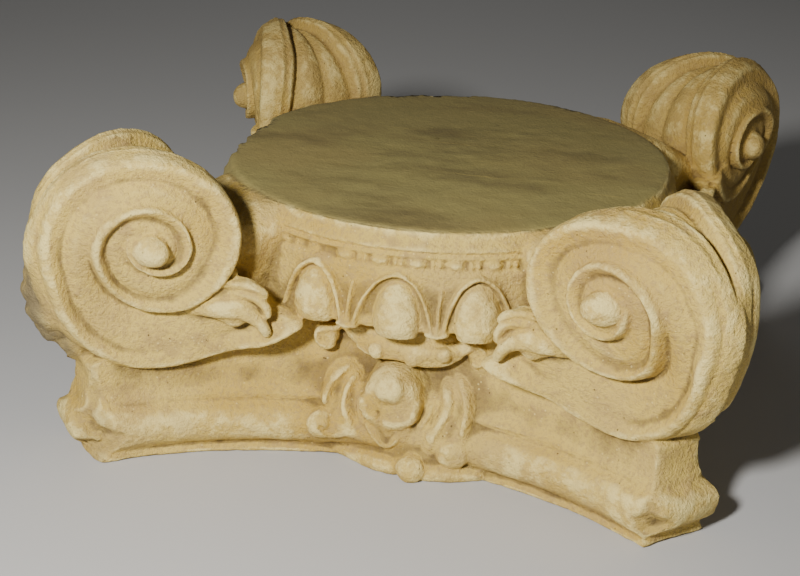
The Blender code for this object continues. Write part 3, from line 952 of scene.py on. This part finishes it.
def thin_out(capital):
    """Bring the skin down to its triangle budget."""
    mesh = capital.data
    mesh.calc_loop_triangles()
    ratio = TRIANGLE_BUDGET / len(mesh.loop_triangles)
    if ratio < 1.0:
        thinner = capital.modifiers.new("thin", "DECIMATE")
        thinner.ratio = ratio
        settle(capital)
    capital.data.shade_smooth()


def mark_surface(capital):
    """Store how hollow or exposed each place is, and where the bed lies, for the stone's colour, its painted
    highlight and its painted shade.
    """
    mesh = capital.data
    points = read_vectors(mesh, "co")
    normals = read_vectors(mesh, "normal")
    edges = read_edges(mesh)
    near = relax(points, edges, 4)
    wide = relax(near, edges, 26)
    fine = np.sum((points - near) * normals, axis=1) / 0.0005
    broad = np.sum((points - wide) * normals, axis=1) / 0.0022
    write_layer(mesh, "crest", relax(np.clip(0.5 * fine + broad, -1.5, 1.5), edges, 2))
    bearing = np.degrees(np.arctan2(points[:, 1], points[:, 0]))
    spread = hill(bearing, 172, 26) + hill(bearing, -172, 22)
    low = BED_HEIGHT - 0.0018 - 0.020 * spread
    edge = (0.99 + 0.09 * spread) * R
    bed = (smooth_step(low, low + 0.0012, points[:, 2])
           * smooth_step(edge + 0.04 * R, edge, np.hypot(points[:, 0], points[:, 1])))
    write_layer(mesh, "bed", bed)


class Nodes:
    """A material whose nodes are added and joined by short calls."""

    def __init__(self, name):
        self.material = bpy.data.materials.new(name)
        self.material.use_nodes = True
        self.tree = self.material.node_tree
        self.shader = self.tree.nodes["Principled BSDF"]

    def node(self, kind, inputs):
        """A new node. Each input is given a value, or the output it is joined to."""
        node = self.tree.nodes.new("ShaderNode" + kind)
        for name, value in inputs.items():
            self.put(node.inputs[name], value)
        return node

    def put(self, socket, value):
        if isinstance(value, bpy.types.NodeSocket):
            self.tree.links.new(value, socket)
        else:
            socket.default_value = value

    def attribute(self, name):
        node = self.node("Attribute", {})
        node.attribute_name = name
        return node.outputs["Fac"]

    def place(self, stretch=(1.0, 1.0, 1.0), turn=0.0):
        """The object's own coordinates, stretched and turned about the upright axis."""
        own = self.node("TexCoord", {}).outputs["Object"]
        mapping = {"Vector": own, "Scale": stretch, "Rotation": (0.0, 0.0, turn)}
        return self.node("Mapping", mapping).outputs["Vector"]

    def depth(self):
        """How far towards the rear a place lies."""
        return self.node("SeparateXYZ", {0: self.place()}).outputs["Y"]

    def noise(self, scale, detail=4.0, rough=0.55, place=None):
        inputs = {"Scale": scale, "Detail": detail, "Roughness": rough,
                  "Vector": self.place() if place is None else place}
        return self.node("TexNoise", inputs).outputs["Fac"]

    def spots(self, scale, place=None):
        inputs = {"Scale": scale, "Vector": self.place() if place is None else place}
        return self.node("TexVoronoi", inputs).outputs["Distance"]

    def span(self, value, low, high, to_low=0.0, to_high=1.0):
        """Pass softly from one value to another as the input goes from low to high."""
        node = self.node("MapRange", {"Value": value, "From Min": low, "From Max": high,
                                      "To Min": to_low, "To Max": to_high})
        node.interpolation_type = "SMOOTHSTEP"
        return node.outputs["Result"]

    def work_out(self, kind, first, second):
        node = self.node("Math", {0: first, 1: second})
        node.operation = kind
        return node.outputs[0]

    def times(self, first, second):
        return self.work_out("MULTIPLY", first, second)

    def blend(self, share, first, second):
        node = self.node("Mix", {})
        node.data_type = "RGBA"
        self.put(node.inputs["Factor"], share)
        self.put(node.inputs["A"], first)
        self.put(node.inputs["B"], second)
        return node.outputs["Result"]


WARM_STONE = (0.520, 0.340, 0.060, 1.0)
PALE_STONE = (0.620, 0.445, 0.105, 1.0)
PINK_GREY = (0.390, 0.262, 0.095, 1.0)
# Pale of worn plaster, also used as a painted highlight on crests and swellings
WEAR_AND_HIGHLIGHT_WHITE = (0.840, 0.675, 0.245, 1.0)
# Painted shade for the hollows and the pits
HOLLOW_SHADE = (0.110, 0.065, 0.016, 1.0)
# Painted shade: the brown that the far parts are darkened towards
REAR_SHADE_BROWN = (0.300, 0.190, 0.048, 1.0)
BED_GREEN = (0.270, 0.222, 0.068, 1.0)
BED_BROWN = (0.272, 0.210, 0.064, 1.0)
# Dark of the bed's streaks, also used as painted shade towards the rear
BED_DARK = (0.105, 0.075, 0.022, 1.0)
FRESH_BREAK = (0.175, 0.132, 0.062, 1.0)


def stone_colour(stone, clouds, patches, grain):
    """Warm buff stone; pale on the crests, partly wear and partly painted highlight; painted shade in the
    hollows and towards the rear.
    """
    crest = stone.attribute("crest")
    body = stone.blend(stone.span(clouds, 0.38, 0.62), WARM_STONE, PALE_STONE)
    body = stone.blend(stone.span(stone.noise(16.0, 3.0), 0.50, 0.66, 0.0, 0.40), body, PINK_GREY)
    body = stone.blend(stone.span(patches, 0.52, 0.64, 0.0, 0.60), body, PINK_GREY)
    body = stone.blend(stone.span(grain, 0.48, 0.62, 0.0, 0.55), body, PINK_GREY)
    # Pale on crests and broad swellings: partly wear, partly a painted highlight where the key light falls on
    # raised parts
    worn = stone.times(stone.span(crest, 0.45, 1.25, 0.0, 0.85), stone.span(patches, 0.43, 0.58, 0.15, 1.0))
    body = stone.blend(worn, body, WEAR_AND_HIGHLIGHT_WHITE)
    # Darker in the hollows: painted shade
    hollow = stone.span(crest, -0.32, -1.05, 0.0, 0.90)
    hollow = stone.times(hollow, stone.span(patches, 0.30, 0.62, 1.0, 0.55))
    body = stone.blend(hollow, body, HOLLOW_SHADE)
    specks = stone.span(stone.spots(260.0), 0.20, 0.12, 0.0, 0.45)
    body = stone.blend(stone.times(specks, stone.span(patches, 0.48, 0.60)), body, WEAR_AND_HIGHLIGHT_WHITE)
    # Browner towards the rear: painted shade for the light falling off with distance
    rear = stone.span(stone.depth(), 0.055, 0.120, 0.0, 0.70)
    return stone.blend(stone.times(rear, stone.span(patches, 0.36, 0.62, 1.0, 0.6)), body, REAR_SHADE_BROWN)


def bed_colour(stone, clouds):
    """Green-brown bed with dark streaks and pale scratches, darkened towards the rear with painted shade."""
    colour = stone.blend(stone.span(clouds, 0.36, 0.64), BED_GREEN, BED_BROWN)
    streaks = stone.noise(2.2, 5.0, 0.6, stone.place((5.0, 13.0, 10.0), 0.25))
    colour = stone.blend(stone.span(streaks, 0.46, 0.76, 0.0, 0.7), colour, BED_DARK)
    scratches = stone.noise(3.0, 3.0, 0.5, stone.place((4.0, 90.0, 10.0), -0.35))
    colour = stone.blend(stone.span(scratches, 0.66, 0.76, 0.0, 0.22), colour, PALE_STONE)
    # Painted shade: the bed darkens towards the rear
    return stone.blend(stone.span(stone.depth(), -0.060, 0.130, 0.0, 0.36), colour, BED_DARK)


def stone_bump(stone, patches, grain, pits, bed):
    """Fine unevenness and pits, fainter on the bed."""
    relief = stone.work_out("ADD", stone.times(patches, 0.9), stone.times(grain, 0.7))
    relief = stone.work_out("SUBTRACT", relief, stone.times(pits, 0.5))
    relief = stone.times(relief, stone.span(bed, 0.0, 1.0, 1.0, 0.35))
    bump = stone.node("Bump", {"Strength": 1.0, "Distance": 0.0022, "Height": relief})
    return bump.outputs["Normal"]


def stone_material():
    """Cast stone with its bed, its broken places and its pits."""
    stone = Nodes("cast_stone")
    bed = stone.attribute("bed")
    clouds = stone.noise(9.0, 3.0)
    patches = stone.noise(60.0, 6.0, 0.72)
    grain = stone.noise(420.0, 3.0, 0.7)
    body = stone.blend(bed, stone_colour(stone, clouds, patches, grain), bed_colour(stone, clouds))
    broken = stone.times(stone.attribute("broken"), stone.span(patches, 0.30, 0.55, 0.50, 0.95))
    body = stone.blend(broken, body, FRESH_BREAK)
    pits = stone.span(stone.spots(190.0, stone.place((1.0, 1.1, 0.9), 0.7)), 0.11, 0.05)
    pits = stone.times(pits, stone.span(patches, 0.50, 0.60))
    # Dark in the pits: painted shade inside the small holes
    body = stone.blend(stone.times(pits, 0.7), body, HOLLOW_SHADE)
    stone.put(stone.shader.inputs["Base Color"], body)
    stone.put(stone.shader.inputs["Roughness"], stone.span(patches, 0.3, 0.7, 0.72, 0.95))
    stone.put(stone.shader.inputs["Normal"], stone_bump(stone, patches, grain, pits, bed))
    return stone.material


def build_floor():
    size = 6.0
    mesh = bpy.data.meshes.new("floor")
    corners = [(-size, -size, 0), (size, -size, 0), (size, size, 0), (-size, size, 0)]
    mesh.from_pydata(corners, [], [(0, 1, 2, 3)])
    floor = new_object("floor", mesh)
    floor.location.z = -0.0005
    material = bpy.data.materials.new("pale_floor")
    material.use_nodes = True
    shader = material.node_tree.nodes["Principled BSDF"]
    shader.inputs["Base Color"].default_value = (0.52, 0.51, 0.49, 1.0)
    shader.inputs["Roughness"].default_value = 0.9
    floor.data.materials.append(material)


def area_light(name, place, target, size, power):
    light = bpy.data.lights.new(name, "AREA")
    light.shape = "DISK"
    light.size = size
    light.energy = power
    lamp = new_object(name, light)
    lamp.location = place
    lamp.rotation_euler = (Vector(target) - Vector(place)).to_track_quat("-Z", "Y").to_euler()


def build_studio():
    world = bpy.data.worlds.new("studio")
    bpy.context.scene.world = world
    world.use_nodes = True
    background = world.node_tree.nodes["Background"]
    background.inputs["Color"].default_value = (0.86, 0.85, 0.82, 1.0)
    background.inputs["Strength"].default_value = 0.052
    centre = (0.0, 0.0, 0.09)
    area_light("key", (-0.10, -0.98, 0.63), centre, 0.12, 17.0)
    area_light("fill", (1.5, -0.4, 0.9), centre, 1.0, 1.6)
    area_light("back", (-0.6, 1.5, 1.1), centre, 1.0, 1.2)


# The camera: degrees round from the front, up, and its tilt; its distance and the point it looks
# at in units of R; and its lens in mm
CAMERA_ROUND = 14.52
CAMERA_UP = 23.18
CAMERA_TILT = 1.44
CAMERA_DISTANCE = 7.25
CAMERA_TARGET = (-0.2200, 0.0, 0.3830)
CAMERA_LENS = 67.7


def build_camera():
    azimuth, elevation, roll = map(math.radians, (CAMERA_ROUND, CAMERA_UP, CAMERA_TILT))
    back = Vector((math.sin(azimuth) * math.cos(elevation), -math.cos(azimuth) * math.cos(elevation),
                   math.sin(elevation)))
    right = Vector((math.cos(azimuth), math.sin(azimuth), 0.0))
    up = back.cross(right)
    level = math.cos(roll) * right + math.sin(roll) * up
    upright = -math.sin(roll) * right + math.cos(roll) * up
    lens = bpy.data.cameras.new("camera")
    lens.sensor_width = 36.0
    lens.lens = CAMERA_LENS
    camera = new_object("camera", lens)
    matrix = Matrix((level, upright, back)).transposed().to_4x4()
    matrix.translation = Vector(CAMERA_TARGET) * R + back * (CAMERA_DISTANCE * R)
    camera.matrix_world = matrix
    bpy.context.scene.camera = camera


capital = fuse_clay()
weather(capital)
thin_out(capital)
mark_surface(capital)
capital.data.materials.append(stone_material())
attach(capital, "root")
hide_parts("capital")
build_floor()
build_studio()
build_camera()
